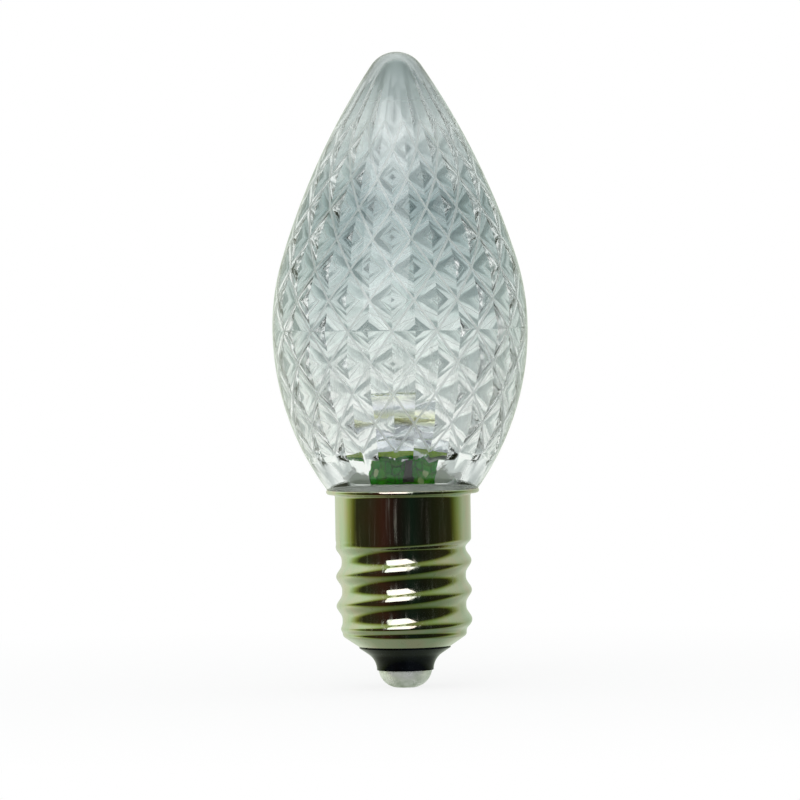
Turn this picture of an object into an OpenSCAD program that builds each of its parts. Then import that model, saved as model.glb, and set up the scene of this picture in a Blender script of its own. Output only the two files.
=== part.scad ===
// Clear faceted LED light bulb with a candelabra screw base, in millimetres.
// The bulb's axis is Z: its tip contact stands on the origin and the lens tip points up.

/* [Lens outline] */
// Height of the whole bulb, from the tip contact to the lens tip
overall_h = 54.8; // [53:0.1:58]
// Radius of the lens at its widest ring
lens_r = 11; // [10.4:0.1:11.8]
// Height of the widest ring, where the two mouldings are welded
seam_z = 31; // [30:0.1:32.5]
// Share of the height above that ring that the shoulder arc takes
shoulder_share = 0.252; // [0.2:0.004:0.3]
// Slope at the end of the shoulder arc, where 1 is the lens's radius over that height
shoulder_slope = 0.66; // [0.55:0.01:0.75]
// Radius of the rounded lens tip
tip_r = 2.6; // [2.3:0.1:3.2]
// Radius of the lens where it sits on the lip of the shell
neck_r = 6.55; // [6.3:0.05:6.8]

/* [Lens facets] */
// Diamond cells around the lens
cells = 16; // [12:1:20]
// Distance from one row of pyramids to the next, along the outline
row_pitch = 2.8; // [2.5:0.1:3]
// Share of the upper outline that carries pyramids
up_share = 0.75; // [0.6:0.01:0.78]
// Share of the lower outline that carries pyramids
down_share = 0.8; // [0.6:0.01:0.85]
// How far the middle row of pyramids lies above the weld
row_shift = -0.15; // [-0.3:0.05:-0.1]
// Direction of the cell column that faces the front, in degrees from +X
column_turn = -94; // [-180:1:180]
// Thickness of the wall at the ridges between the pyramids
wall_t = 1.6; // [1.4:0.05:1.8]
// Thickness of the wall at the lens tip
tip_wall_t = 0.8; // [0.7:0.05:1.4]
// Depth of a pyramid at the widest ring
facet_depth = 0.7; // [0.3:0.05:0.8]
// Width of the flat ridges
land_w = 0.2; // [0.15:0.05:0.4]

/* [Lens joint] */
// Width of the welding tongue
tongue_w = 0.3; // [0.2:0.05:0.35]
// Height of the welding tongue
tongue_h = 0.35; // [0.2:0.05:0.5]
// Distance of the tongue from the outer surface
tongue_in = 0.3; // [0.25:0.05:0.4]
// Length of the skirt below the lip of the shell
skirt_h = 3.7; // [2.5:0.1:3.8]
// Thickness of the skirt
skirt_t = 0.9; // [0.8:0.05:1.1]

/* [Screw shell] */
// Radius over the thread crests and the smooth band
shell_r = 5.85; // [5.75:0.05:5.95]
// Thickness of the sheet metal
sheet_t = 0.3; // [0.2:0.05:0.35]
// Pitch of the rolled thread
thread_pitch = 2.54; // [2.3:0.02:2.6]
// Depth of the rolled thread
thread_depth = 0.5; // [0.3:0.05:0.55]
// Sharpness of the thread's crests, where 1 is a plain wave
thread_sharp = 1.5; // [1:0.1:1.6]
// Turns of the rolled thread
thread_turns = 3.2; // [3:0.1:3.3]
// Direction in which the thread leaves the rim, in degrees
thread_start = 202; // [0:1:359]
// Height of the smooth band, with its fillet
band_h = 3.9; // [3.5:0.1:4.5]
// Radius of the flared lip
lip_r = 6.6; // [6.3:0.05:6.9]
// Thickness of the flared lip
lip_t = 0.45; // [0.35:0.05:0.6]
// Height of the rim's lower edge above the origin
rim_z = 3.45; // [3.3:0.05:3.6]
// Slope of the cone that the rim is drawn in to, in degrees
rim_cone = 34; // [30:1:38]
// Radius of the bend between the cone and the thread
rim_round = 0.4; // [0.4:0.05:0.6]
// Radius of the hole in the rim
rim_hole_r = 3.8; // [3.7:0.05:3.9]

/* [Insulator and contact] */
// Radius of the insulator at the contact
insulator_tip_r = 2.45; // [2.4:0.05:2.55]
// Height of the plug inside the shell
plug_h = 1.6; // [1.2:0.1:1.8]
// Height of the contact dome
contact_h = 1.5; // [1.3:0.05:1.6]
// Radius of the contact dome
contact_r = 2.3; // [2.1:0.05:2.35]
// Radius of the flat at the bottom of the contact
contact_flat_r = 0.6; // [0.5:0.05:0.8]
// Radius of the contact's stem
stem_r = 0.95; // [0.8:0.05:1.1]
// Length of the contact's stem
stem_h = 1.5; // [1:0.1:2]
// Radius of the hole in the stem
stem_bore_r = 0.5; // [0.4:0.05:0.6]

/* [Boards] */
// Radius of the round board
led_board_r = 3.1; // [3.1:0.05:3.4]
// Height of the round board's upper face
led_board_z = 20.8; // [20.5:0.1:21.5]
// Thickness of both boards
board_t = 0.8; // [0.6:0.1:1]
// Length of the upright board below the neck of the lens
board_drop = 9.6; // [9.2:0.1:9.8]
// Depth of the grooves in the skirt that hold the upright board
groove_d = 0.35; // [0.2:0.05:0.4]
// Width of the upright board at the neck of the lens
tongue_low_w = 5.5; // [5:0.1:5.9]
// Width of the upright board under the round board
tongue_top_w = 6; // [5.7:0.1:6.1]

/* [Light emitting diodes] */
// Radius of the circle that the diodes stand on
led_ring_r = 1.65; // [1.6:0.05:1.7]
// Direction of the first diode, in degrees from +X
led_turn = -120; // [-122:1:-116]
// Radius of a diode
led_r = 1.25; // [1.2:0.05:1.3]
// Height of a diode
led_h = 4.8; // [4.4:0.1:5.2]
// Half the distance between a diode's leads
lead_half = 0.9; // [0.85:0.05:0.95]
// Width of a diode's leads
lead_w = 0.4; // [0.3:0.05:0.4]

/* [Electronic parts] */
// Width of the bridge rectifier's body
bridge_w = 4; // [3.8:0.1:4.2]
// Depth of the bridge rectifier's body
bridge_d = 2.2; // [2:0.1:2.4]
// Height of the bridge rectifier's body
bridge_h = 4.7; // [4.5:0.1:4.8]
// Distance of the bridge rectifier's centre below the neck of the lens
bridge_drop = 5.3; // [4.8:0.1:5.4]
// Width of a chip resistor
resistor_w = 0.85; // [0.75:0.05:1]
// Depth of a chip resistor
resistor_d = 0.45; // [0.4:0.05:0.6]
// Height of a chip resistor
resistor_h = 1.6; // [1.4:0.05:1.8]
// Width of the capacitor
capacitor_w = 3.2; // [3:0.1:3.4]
// Depth of the capacitor
capacitor_d = 1.5; // [1.3:0.1:1.7]
// Height of the capacitor
capacitor_h = 2.4; // [2.2:0.1:2.5]
// Radius of the two wires
wire_r = 0.2; // [0.15:0.05:0.25]

/* [Hidden] */
$fn = 96;

// Clearances between pieces
slip = 0.05;
touch = 0.02;
// How far a cutting shape runs past what it cuts
past = 1;

// Radii and heights of the base, from the bottom up
root_r = shell_r - thread_depth;
inner_r = shell_r - sheet_t;
cone_r = root_r - rim_round * (1 - sin(rim_cone));
thread_z0 = rim_z + (cone_r - rim_hole_r) * tan(rim_cone) + rim_round * cos(rim_cone);
thread_z1 = thread_z0 + thread_turns * thread_pitch;
lip_z = thread_z1 + band_h;
neck_z = lip_z + lip_t;
lip_fillet = 0.25;

// How far the thread takes to rise from the rim and to run out into the band
thread_in = 0.7;
thread_out = 0.8;

// Skirt of the lens, and the tops of the cuts in it for the upright board and the shell's wire
groove_below = 0.6;
notch_below = 1.2;
skirt_r = inner_r - slip;
skirt_z = neck_z - skirt_h;
bore_r = skirt_r - skirt_t;
groove_z = neck_z - groove_below;
notch_z = neck_z - notch_below;

// Heights of the upright board's lower edge and of the bridge rectifier's centre
board_z = neck_z - board_drop;
bridge_z = neck_z - bridge_drop;

// Lens outline: one arc below the widest ring, three above it
upper_h = overall_h - seam_z;
shoulder_turn = atan(shoulder_slope * lens_r / upper_h);
shoulder_r = shoulder_share * upper_h / sin(shoulder_turn);
lower_drop = lens_r - neck_r;
lower_rise = seam_z - neck_z;
lower_r = (lower_rise * lower_rise + lower_drop * lower_drop) / (2 * lower_drop);
lower_len = lower_r * asin(lower_rise / lower_r) * PI / 180;
shoulder_end = [lens_r, seam_z] + shoulder_r * [cos(shoulder_turn) - 1, sin(shoulder_turn)];
tip_centre = [0, overall_h - tip_r];
flank_normal = [cos(shoulder_turn), sin(shoulder_turn)];
to_tip = shoulder_end - tip_centre;
flank_r = (to_tip * to_tip - tip_r * tip_r) / (2 * (to_tip * flank_normal - tip_r));
flank_centre = shoulder_end - flank_r * flank_normal;
tip_turn = atan2(tip_centre[1] - flank_centre[1], tip_centre[0] - flank_centre[0]);
shoulder_len = shoulder_r * shoulder_turn * PI / 180;
flank_len = flank_r * (tip_turn - shoulder_turn) * PI / 180;
upper_len = shoulder_len + flank_len + tip_r * (90 - tip_turn) * PI / 180;
outline_steps = 48;

// Direction of the outward normal at the arc length s above the weld, in degrees above level
function heading(s) =
    s < 0 ? s / lower_r * 180 / PI :
    s < shoulder_len ? s / shoulder_r * 180 / PI :
    s < shoulder_len + flank_len ? shoulder_turn + (s - shoulder_len) / flank_r * 180 / PI :
    tip_turn + (s - shoulder_len - flank_len) / tip_r * 180 / PI;

// Radius and height of the outline at the arc length s, moved in by a depth
function outline(s, depth = 0) =
    let (h = heading(s), normal = [cos(h), sin(h)])
    (s < 0 ? [lens_r, seam_z] + lower_r * (normal - [1, 0]) :
     s < shoulder_len ? [lens_r, seam_z] + shoulder_r * (normal - [1, 0]) :
     s < shoulder_len + flank_len ? flank_centre + flank_r * normal :
     tip_centre + tip_r * normal) - depth * normal;

// Points of an arc around a centre
function arc(centre, r, from, to, steps) =
    [for (i = [0:steps]) let (a = from + (to - from) * i / steps) centre + r * [cos(a), sin(a)]];

// A point given by radius and height, turned to a direction
function around(p, a) = [p[0] * cos(a), p[0] * sin(a), p[1]];

// Two triangles for a quad whose corners run clockwise as seen from outside
function quad(a, b, c, d) = [[a, b, c], [a, c, d]];

// The mould core that leaves the pyramid facets in the lens.
// A cell has five points: left, right, top and bottom corner and the apex of its pyramid.
LEFT = 0;
RIGHT = 1;
TOP = 2;
BOTTOM = 3;
APEX = 4;
column_angle = 180 / cells;
rows_up = floor(up_share * upper_len / row_pitch);
rows_down = floor(down_share * lower_len / row_pitch);

// Rings of flutes beyond the pyramids, and how far up the tip they can be felt
tip_rings = 7;
neck_rings = 4;
flute_fade = 0.85;
// The ridges take no more than this share of a narrow cell
ridge_most = 0.25;

function row_s(k) = row_shift + k * row_pitch;
function column(k, j) = 2 * j + (k % 2 == 0 ? 1 : 0);
function row_r(k) = outline(row_s(k), wall_t)[0];

// Pyramids get shallower as the lens narrows, and their ridges keep their width
function row_depth(k) = facet_depth * row_r(k) / (lens_r - wall_t);
function corner_in(k) =
    let (half = row_r(k) * column_angle * PI / 180)
    min(ridge_most, land_w / 2 * norm([half, row_pitch]) / (half * row_pitch));

function ease(t) = let (c = min(1, max(0, t))) c * c * (3 - 2 * c);

// The wall thins towards the tip beyond the last row of pyramids
function wall_at(s) =
    wall_t + (tip_wall_t - wall_t) * ease((s - row_s(rows_up)) / (upper_len - row_s(rows_up)));
function core_point(i, s, depth) =
    around(outline(s, wall_at(s) - depth), column_turn + i * column_angle);

function cell_points(k, j) =
    let (i = column(k, j), c = corner_in(k), s = row_s(k))
    [core_point(i - 1 + c, s, 0), core_point(i + 1 - c, s, 0),
     core_point(i, s + (1 - c) * row_pitch, 0), core_point(i, s - (1 - c) * row_pitch, 0),
     core_point(i, s, row_depth(k))];

// A ring of flutes that carries on from the end row k to the arc length s, faded by f
function flute_ring(k, s, f) =
    [for (j = [0:cells - 1]) let (i = column(k, j), c = corner_in(k))
        each [core_point(i - 1 + c, s, 0), core_point(i, s, row_depth(k) * f),
              core_point(i + 1 - c, s, 0)]];

// Core between the rows lo and hi; an end that meets the lens's own end is fluted and closed there
module lens_core(lo, hi) {
    at_tip = hi == rows_up;
    at_neck = lo == -rows_down;
    up = at_tip ? tip_rings : 1;
    down = at_neck ? neck_rings : 1;
    spare = 0.3;
    s_hi = row_s(hi);
    s_lo = row_s(lo);
    up_s = [for (m = [1:up]) at_tip ? s_hi + (upper_len - s_hi) * m / (up + 1) : s_hi + spare];
    down_s = [for (m = [1:down]) at_neck ? s_lo + (-lower_len - s_lo) * m / down : s_lo - spare];
    cell_count = (hi - lo + 1) * cells;
    width = 3 * cells;
    first_up = 5 * cell_count;
    first_down = first_up + up * width;
    pole = first_down + down * width;
    points = [
        for (k = [lo:hi]) for (j = [0:cells - 1]) each cell_points(k, j),
        for (m = [0:up - 1]) each flute_ring(hi, up_s[m], max(0, 1 - (m + 1) / (up * flute_fade))),
        for (m = [0:down - 1]) each flute_ring(lo, down_s[m], max(0, 1 - (m + 1) / down)),
        [0, 0, outline(at_tip ? upper_len : up_s[up - 1], at_tip ? tip_wall_t : wall_t)[1]],
        [0, 0, outline(down_s[down - 1], wall_t)[1]]
    ];
    function id(k, j, c) = ((k - lo) * cells + (j + cells) % cells) * 5 + c;
    function up_id(m, q) =
        m == 0 ? id(hi, floor(q / 3), [LEFT, APEX, RIGHT][q % 3]) :
        first_up + (m - 1) * width + q % width;
    function down_id(m, q) =
        m == 0 ? id(lo, floor(q / 3), [LEFT, APEX, RIGHT][q % 3]) :
        first_down + (m - 1) * width + q % width;
    function lean(k) = k % 2 == 0 ? 1 : 0;
    faces = [
        for (k = [lo:hi]) for (j = [0:cells - 1]) each concat(
            k < hi ? [[id(k, j, LEFT), id(k, j, TOP), id(k, j, APEX)],
                      [id(k, j, TOP), id(k, j, RIGHT), id(k, j, APEX)]] : [],
            k > lo ? [[id(k, j, RIGHT), id(k, j, BOTTOM), id(k, j, APEX)],
                      [id(k, j, BOTTOM), id(k, j, LEFT), id(k, j, APEX)]] : []),
        for (k = [lo:hi - 1]) for (j = [0:cells - 1]) let (r = j + lean(k), l = r - 1) each concat(
            quad(id(k, j, TOP), id(k + 1, r, LEFT), id(k + 1, r, BOTTOM), id(k, j, RIGHT)),
            quad(id(k, j, LEFT), id(k + 1, l, BOTTOM), id(k + 1, l, RIGHT), id(k, j, TOP))),
        for (k = [lo:hi]) for (j = [0:cells - 1]) let (m = j + lean(k)) each
            k == hi ? [[id(k, j, RIGHT), id(k, j + 1, LEFT), id(k - 1, m, TOP)]] :
            k == lo ? [[id(k, j, RIGHT), id(k + 1, m, BOTTOM), id(k, j + 1, LEFT)]] :
            quad(id(k, j, RIGHT), id(k + 1, m, BOTTOM), id(k, j + 1, LEFT), id(k - 1, m, TOP)),
        for (m = [0:up - 1]) for (q = [0:width - 1])
            each quad(up_id(m, q), up_id(m + 1, q), up_id(m + 1, q + 1), up_id(m, q + 1)),
        for (m = [0:down - 1]) for (q = [0:width - 1])
            each quad(down_id(m + 1, q), down_id(m, q), down_id(m, q + 1), down_id(m + 1, q + 1)),
        for (q = [0:width - 1]) [up_id(up, q), pole, up_id(up, q + 1)],
        for (q = [0:width - 1]) [down_id(down, q), down_id(down, q + 1), pole + 1]
    ];
    polyhedron(points, faces);
}

// Ring around the axis with a square section
module ring(r, w, z, h) {
    translate([0, 0, z]) rotate_extrude() translate([r - w, 0]) square([w, h]);
}

// Upper moulding: smooth ogive outside, facets and soft flutes inside
module lens_upper() {
    outer = [for (i = [0:outline_steps]) outline(upper_len * i / outline_steps)];
    color([0.80, 0.86, 0.84, 0.35]) difference() {
        rotate_extrude() polygon(concat([[0, seam_z]], [for (p = outer) [max(0, p[0]), p[1]]]));
        lens_core(-1, rows_up);
        ring(lens_r - tongue_in + touch, tongue_w + 2 * touch, seam_z - past, tongue_h + past + touch);
    }
}

// Lower moulding: facets inside, a tongue for the weld and a skirt for the shell
module lens_lower() {
    steps = outline_steps / 2;
    outer = [for (i = [0:steps]) outline(-lower_len * i / steps)];
    skirt = [[skirt_r, neck_z], [skirt_r, skirt_z], [0, skirt_z]];
    color([0.84, 0.90, 0.88, 0.35]) difference() {
        union() {
            rotate_extrude() polygon(concat([[0, seam_z]], outer, skirt));
            ring(lens_r - tongue_in, tongue_w, seam_z - tongue_h, 2 * tongue_h);
        }
        lens_core(-rows_down, 1);
        translate([0, 0, skirt_z - past]) cylinder(r = bore_r, h = neck_z + past + wall_t - skirt_z);
        translate([-bore_r - groove_d, -board_t / 2 - slip, skirt_z - past])
            cube([2 * (bore_r + groove_d), board_t + 2 * slip, groove_z + past - skirt_z]);
        rotate([0, 0, 90]) translate([skirt_r - 2 * wire_r, -wire_r - slip, skirt_z - past])
            cube([2 * wire_r + past, 2 * (wire_r + slip), notch_z + past - skirt_z]);
    }
}

// Radius of the thread's outer face at a height and a direction
function thread_r(z, a) =
    let (low = ease((z - thread_z0) / thread_in), high = ease((thread_z1 - z) / thread_out),
         phase = 360 * (z - thread_z0) / thread_pitch - (a - thread_start),
         wave = ((1 + cos(phase)) / 2) ^ thread_sharp)
    shell_r - thread_depth * (1 - low) - thread_depth * low * high * (1 - wave);

// Rolled thread: a closed sheet whose ends are tucked into the rim and the band
module rolled_thread() {
    segments = 40;
    per_pitch = 10;
    tuck = 0.1;
    inset = 0.03;
    rings = ceil(per_pitch * thread_turns);
    heights = concat([thread_z0 - tuck, thread_z0],
        [for (i = [1:rings - 1]) thread_z0 + (thread_z1 - thread_z0) * i / rings],
        [thread_z1, thread_z1 + tuck]);
    count = len(heights);
    thin = [for (i = [0:count - 1]) i < 2 || i > count - 3 ? inset : 0];
    loop = 2 * count;
    function face_point(i, a, depth) = around([thread_r(heights[i], a) - depth, heights[i]], a);
    points = [for (j = [0:segments - 1]) let (a = 360 * j / segments) each concat(
        [for (i = [0:count - 1]) face_point(i, a, thin[i])],
        [for (i = [count - 1:-1:0]) face_point(i, a, sheet_t - thin[i])])];
    function id(j, m) = (j % segments) * loop + m % loop;
    faces = [for (j = [0:segments - 1]) for (m = [0:loop - 1])
        each quad(id(j, m), id(j, m + 1), id(j + 1, m + 1), id(j + 1, m))];
    polyhedron(points, faces);
}

// Height of the rim's cone at a radius, moved in by a depth
function cone_z(r, depth = 0) = rim_z + (r - rim_hole_r) * tan(rim_cone) + depth / cos(rim_cone);

// Sheet metal shell: rim drawn in to a cone, rolled thread, smooth band and flared lip
module screw_shell() {
    bend = [root_r - rim_round, thread_z0];
    rim = concat([[rim_hole_r, rim_z]],
        arc(bend, rim_round, rim_cone - 90, 0, 5),
        arc(bend, rim_round - sheet_t, 0, rim_cone - 90, 3),
        [[rim_hole_r, cone_z(rim_hole_r, sheet_t)]]);
    band = concat([[inner_r, thread_z1], [shell_r, thread_z1]],
        arc([shell_r + lip_fillet, lip_z - lip_fillet], lip_fillet, 180, 90, 5),
        arc([lip_r - lip_t / 2, lip_z + lip_t / 2], lip_t / 2, -90, 90, 8),
        [[inner_r, neck_z]]);
    color([0.78, 0.78, 0.70]) union() {
        rotate_extrude() polygon(rim);
        rolled_thread();
        rotate_extrude() polygon(band);
    }
}

// Glossy black insulator, moulded through the hole of the rim: a flared foot below, a plug above
module insulator() {
    neck = rim_hole_r - touch;
    flange = root_r - rim_round - slip;
    flange_t = 0.8;
    bead = 0.15;
    bead_t = 0.12;
    low = contact_h + touch;
    edge = [rim_hole_r + bead, cone_z(rim_hole_r + bead) - bead_t];
    across = edge[0] - insulator_tip_r;
    rise = edge[1] - low;
    // The foot starts upright at the contact and ends along the rim's cone
    lean = sin(rim_cone);
    flare_r = (rise * cos(rim_cone) - across * lean) / (cos(rim_cone) ^ 2 - lean * (1 - lean));
    flange_z = cone_z(flange, sheet_t) + touch;
    outline = concat([[stem_r + slip, low]],
        arc([insulator_tip_r + flare_r, low], flare_r, 180, 90 + rim_cone, 8),
        [edge, [edge[0], cone_z(edge[0]) - touch], [neck, rim_z - touch],
         [neck, cone_z(rim_hole_r, sheet_t) + touch], [flange, flange_z], [flange, flange_z + flange_t],
         [neck, flange_z + plug_h], [stem_r + slip, flange_z + plug_h]]);
    color([0.03, 0.03, 0.04]) rotate_extrude() polygon(outline);
}

// Tip contact: a dome with a small flat and a hollow stem
module tip_contact() {
    across = contact_r - contact_flat_r;
    dome_r = (across * across + contact_h * contact_h) / (2 * contact_h);
    floor_t = 0.7;
    outline = concat([[0, 0]],
        arc([contact_flat_r, dome_r], dome_r, -90, asin((contact_h - dome_r) / dome_r), 10),
        [[stem_r, contact_h], [stem_r, contact_h + stem_h], [stem_bore_r, contact_h + stem_h],
         [stem_bore_r, floor_t], [0, floor_t]]);
    color([0.82, 0.82, 0.80]) rotate_extrude() polygon(outline);
}

// Place of diode n on the round board, with its leads across the radius
module at_led(n) {
    rotate([0, 0, led_turn + 120 * (n - 1)]) translate([led_ring_r, 0, led_board_z + touch])
        rotate([0, 0, 90]) children();
}

// Bar of a diode's lead frame between two widths and heights, grown all round by g
module bar(x0, x1, z0, z1, g) {
    translate([x0 - g, -lead_w / 2 - g, z0 - g])
        cube([x1 - x0 + 2 * g, lead_w + 2 * g, z1 - z0 + 2 * g]);
}

// Sizes of a diode's inside
flange_out = 0.12;
flange_r = led_r + flange_out;
flange_h = 0.8;
dome_wall = 0.06;
lead_past = 0.5;
lead_down = board_t + lead_past;
post_r = lead_half + lead_w / 2;
cup_r = 0.5;
cup_z = 1.8;
cup_h = 0.75;
phosphor_r = 0.38;
phosphor_d = 0.35;
phosphor_bulge = 0.15;
arm_h = 0.5;

module cathode_shape(g) {
    bar(lead_half - lead_w / 2, post_r, -lead_down, cup_z + arm_h, g);
    bar(0, lead_half, cup_z, cup_z + arm_h, g);
    translate([0, 0, cup_z - g]) cylinder(r = cup_r + g, h = cup_h + 2 * g, $fn = 32);
}

module anode_shape(g) {
    bar(-post_r, -lead_half + lead_w / 2, -lead_down, cup_z + cup_h, g);
    bar(-lead_half, -cup_r - 2 * dome_wall, cup_z + arm_h, cup_z + cup_h, g);
}

// Phosphor in the cup: narrower at its floor, and bulging a little over the brim
module phosphor_shape(g) {
    z = cup_z + cup_h;
    floor_share = 0.75;
    brow = 0.7;
    rotate_extrude($fn = 32) polygon([
        [0, z - phosphor_d], [phosphor_r * floor_share, z - phosphor_d], [phosphor_r, z],
        [phosphor_r + g, z + g], [phosphor_r * brow, z + phosphor_bulge * brow + g],
        [0, z + phosphor_bulge + g]]);
}

// Clear epoxy body of a diode, cast around its leads
module led(n) {
    flat = 0.1;
    outline = concat([[0, 0], [flange_r, 0], [flange_r, flange_h], [led_r, flange_h + dome_wall]],
        arc([0, led_h - led_r], led_r, 0, 90, 12));
    color([0.93, 0.93, 0.96, 0.5]) at_led(n) difference() {
        rotate_extrude($fn = 48) polygon(outline);
        translate([flange_r - flat, -flange_r, -past]) cube([past, 2 * flange_r, past + flange_h]);
        cathode_shape(touch);
        anode_shape(touch);
        phosphor_shape(touch);
    }
}

module led_cathode(n) {
    color([0.75, 0.75, 0.76]) at_led(n) difference() {
        cathode_shape(0);
        phosphor_shape(0);
    }
}

module led_anode(n) {
    color([0.75, 0.75, 0.76]) at_led(n) anode_shape(0);
}

module led_phosphor(n) {
    color([0.90, 0.85, 0.25]) at_led(n) phosphor_shape(0);
}

// Round board that the diodes stand on, with a hole for each lead
module led_board() {
    hole = lead_w / 2 + slip;
    color([0.25, 0.48, 0.15]) difference() {
        translate([0, 0, led_board_z - board_t]) cylinder(r = led_board_r, h = board_t);
        for (n = [1:3]) for (side = [-1, 1])
            at_led(n) translate([side * lead_half - hole, -hole, -2 * board_t])
                cube([2 * hole, 2 * hole, 3 * board_t]);
    }
}

// Upright board: its wide part slides in the skirt, its tongue carries the round board
module driver_board() {
    half = bore_r + groove_d - slip;
    corner = 1;
    shoulder_z = groove_z - slip;
    top = led_board_z - board_t;
    side = [[half - corner, board_z], [half, board_z + corner], [half, shoulder_z],
            [tongue_low_w / 2, shoulder_z], [tongue_low_w / 2, neck_z], [tongue_top_w / 2, top]];
    other = [for (i = [len(side) - 1:-1:0]) [-side[i][0], side[i][1]]];
    color([0.10, 0.35, 0.12]) translate([0, board_t / 2, 0]) rotate([90, 0, 0])
        linear_extrude(board_t) polygon(concat(side, other));
}

// Four solder fillets under the round board, on both faces of the upright one, from the
// diodes' nearest leads out to the edge of the upright board
module board_solder() {
    leg = 0.6;
    near = led_turn + 240;
    lead_corner = lead_w / 2 * (abs(cos(near)) + abs(sin(near)));
    from = led_ring_r * abs(cos(near)) + lead_half * abs(sin(near)) + lead_corner + slip;
    long = tongue_top_w / 2 - 3 * slip - from;
    profile = concat([[0, 0]], arc([leg, leg], leg, -90, -180, 5));
    color([0.80, 0.80, 0.82]) for (side = [-1, 1]) for (face = [0, 1])
        rotate([0, 0, 180 * face])
            translate([side * (from + long / 2) - long / 2, board_t / 2, led_board_z - board_t])
                rotate([90, 0, 90]) linear_extrude(long) mirror([0, 1]) polygon(profile);
}

// Moulded bridge rectifier on the front of the upright board, standing a little off it
stand_off = 0.1;

module bridge_rectifier() {
    bevel = 0.15;
    front = -board_t / 2 - stand_off - bridge_d;
    color([0.05, 0.05, 0.05]) difference() {
        translate([-bridge_w / 2, front, bridge_z - bridge_h / 2]) cube([bridge_w, bridge_d, bridge_h]);
        for (side = [-1, 1])
            translate([side * bridge_w / 2, front, bridge_z])
                rotate([0, 0, 45]) cube([2 * bevel, 2 * bevel, bridge_h + past], center = true);
    }
}

// Its four legs: out of the middle of the body, down to the board and out along it
module bridge_pins() {
    foot_t = 0.25;
    foot_l = 1.3;
    knee = 0.2;
    leg_w = 0.7;
    leg_gap = 2.54;
    out = bridge_w / 2 + touch;
    high = stand_off + bridge_d / 2;
    profile = [[out, high], [out, high + foot_t], [out + foot_t + knee, high + foot_t],
               [out + foot_t + knee, foot_t], [out + foot_l, foot_t], [out + foot_l, 0],
               [out + knee, 0], [out + knee, high]];
    color([0.78, 0.78, 0.80]) for (side = [0, 1]) for (row = [-1, 1])
        translate([0, -board_t / 2, bridge_z + row * leg_gap / 2 - leg_w / 2]) mirror([side, 0, 0])
            linear_extrude(leg_w) mirror([0, 1]) polygon(profile);
}

// Places of the chip resistors: across the upright board, and depth under the round board
resistor_1_at = [0.5, 1.2];
resistor_2_at = [0, 1.6];

// Chip resistor on the front of the upright board; the second is turned to its rear
module chip_resistor(at) {
    cap = 0.3;
    skin = 0.05;
    middle = [at[0], -board_t / 2 - resistor_d / 2, led_board_z - board_t - at[1]];
    color([0.06, 0.06, 0.07]) translate(middle) union() {
        cube([resistor_w - 2 * skin, resistor_d - 2 * skin, resistor_h - cap], center = true);
        for (end = [-1, 1]) translate([0, 0, end * (resistor_h - cap) / 2])
            cube([resistor_w, resistor_d, cap], center = true);
    }
}

// Ceramic block capacitor on the rear of the upright board, near its lower edge
module capacitor() {
    cap = 0.5;
    skin = 0.05;
    margin = 0.5;
    middle = [0, board_t / 2 + capacitor_d / 2, board_z + margin + capacitor_h / 2];
    color([0.72, 0.55, 0.35]) translate(middle) union() {
        cube([capacitor_w - cap, capacitor_d - 2 * skin, capacitor_h - 2 * skin], center = true);
        for (end = [-1, 1]) translate([end * (capacitor_w - cap) / 2, 0, 0])
            cube([cap, capacitor_d, capacitor_h], center = true);
    }
}

// Round wire along points of radius and height, in the upright plane at a direction
module wire(path, direction) {
    sides = 8;
    count = len(path);
    points = [for (i = [0:count - 1])
        let (d = path[min(i + 1, count - 1)] - path[max(i - 1, 0)], t = d / norm(d))
        for (q = [0:sides - 1]) let (a = 360 * (q + 0.5) / sides, w = wire_r * cos(a))
        [path[i][0] - t[1] * w, wire_r * sin(a), path[i][1] + t[0] * w]];
    function id(i, q) = i * sides + q % sides;
    faces = concat(
        [for (i = [0:count - 2]) for (q = [0:sides - 1])
            each quad(id(i, q), id(i, q + 1), id(i + 1, q + 1), id(i + 1, q))],
        [[for (q = [sides - 1:-1:0]) id(0, q)], [for (q = [0:sides - 1]) id(count - 1, q)]]);
    rotate([0, 0, direction]) polyhedron(points, faces);
}

// Wire from the front of the upright board down into the stem of the tip contact
module contact_lead() {
    side = board_t / 2 + wire_r + touch;
    overlap = 1.4;
    clear = 0.2;
    swing = 0.9;
    steps = 8;
    end_z = 0.8;
    low = board_z - clear;
    path = concat([[side, board_z + overlap]],
        [for (i = [0:steps]) [side * (1 + cos(180 * i / steps)) / 2, low - swing * i / steps]],
        [[0, end_z]]);
    color([0.80, 0.78, 0.74]) wire(path, -90);
}

// Wire from the rear of the upright board up between the skirt and the band
module shell_lead() {
    side = board_t / 2 + wire_r + touch;
    bend = 0.7;
    overlap = 1.6;
    clear = 0.5;
    far = inner_r - wire_r - touch;
    level = skirt_z - clear;
    path = concat([[side, level - bend - overlap]],
        arc([side + bend, level - bend], bend, 180, 90, 5),
        arc([far - bend, level + bend], bend, -90, 0, 5),
        [[far, notch_z - 2 * wire_r]]);
    color([0.80, 0.78, 0.74]) wire(path, 90);
}

lens_upper();
lens_lower();
screw_shell();
insulator();
tip_contact();
led_board();
driver_board();
board_solder();
led(1);  // led_1
led_cathode(1);  // led_1_cathode
led_anode(1);  // led_1_anode
led_phosphor(1);  // led_1_phosphor
led(2);  // led_2
led_cathode(2);  // led_2_cathode
led_anode(2);  // led_2_anode
led_phosphor(2);  // led_2_phosphor
led(3);  // led_3
led_cathode(3);  // led_3_cathode
led_anode(3);  // led_3_anode
led_phosphor(3);  // led_3_phosphor
bridge_rectifier();
bridge_pins();
chip_resistor(resistor_1_at);  // resistor_1
rotate([0, 0, 180]) chip_resistor(resistor_2_at);  // resistor_2
capacitor();
contact_lead();
shell_lead();
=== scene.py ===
import math

import bmesh
import bpy
from mathutils import Matrix, Vector


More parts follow.
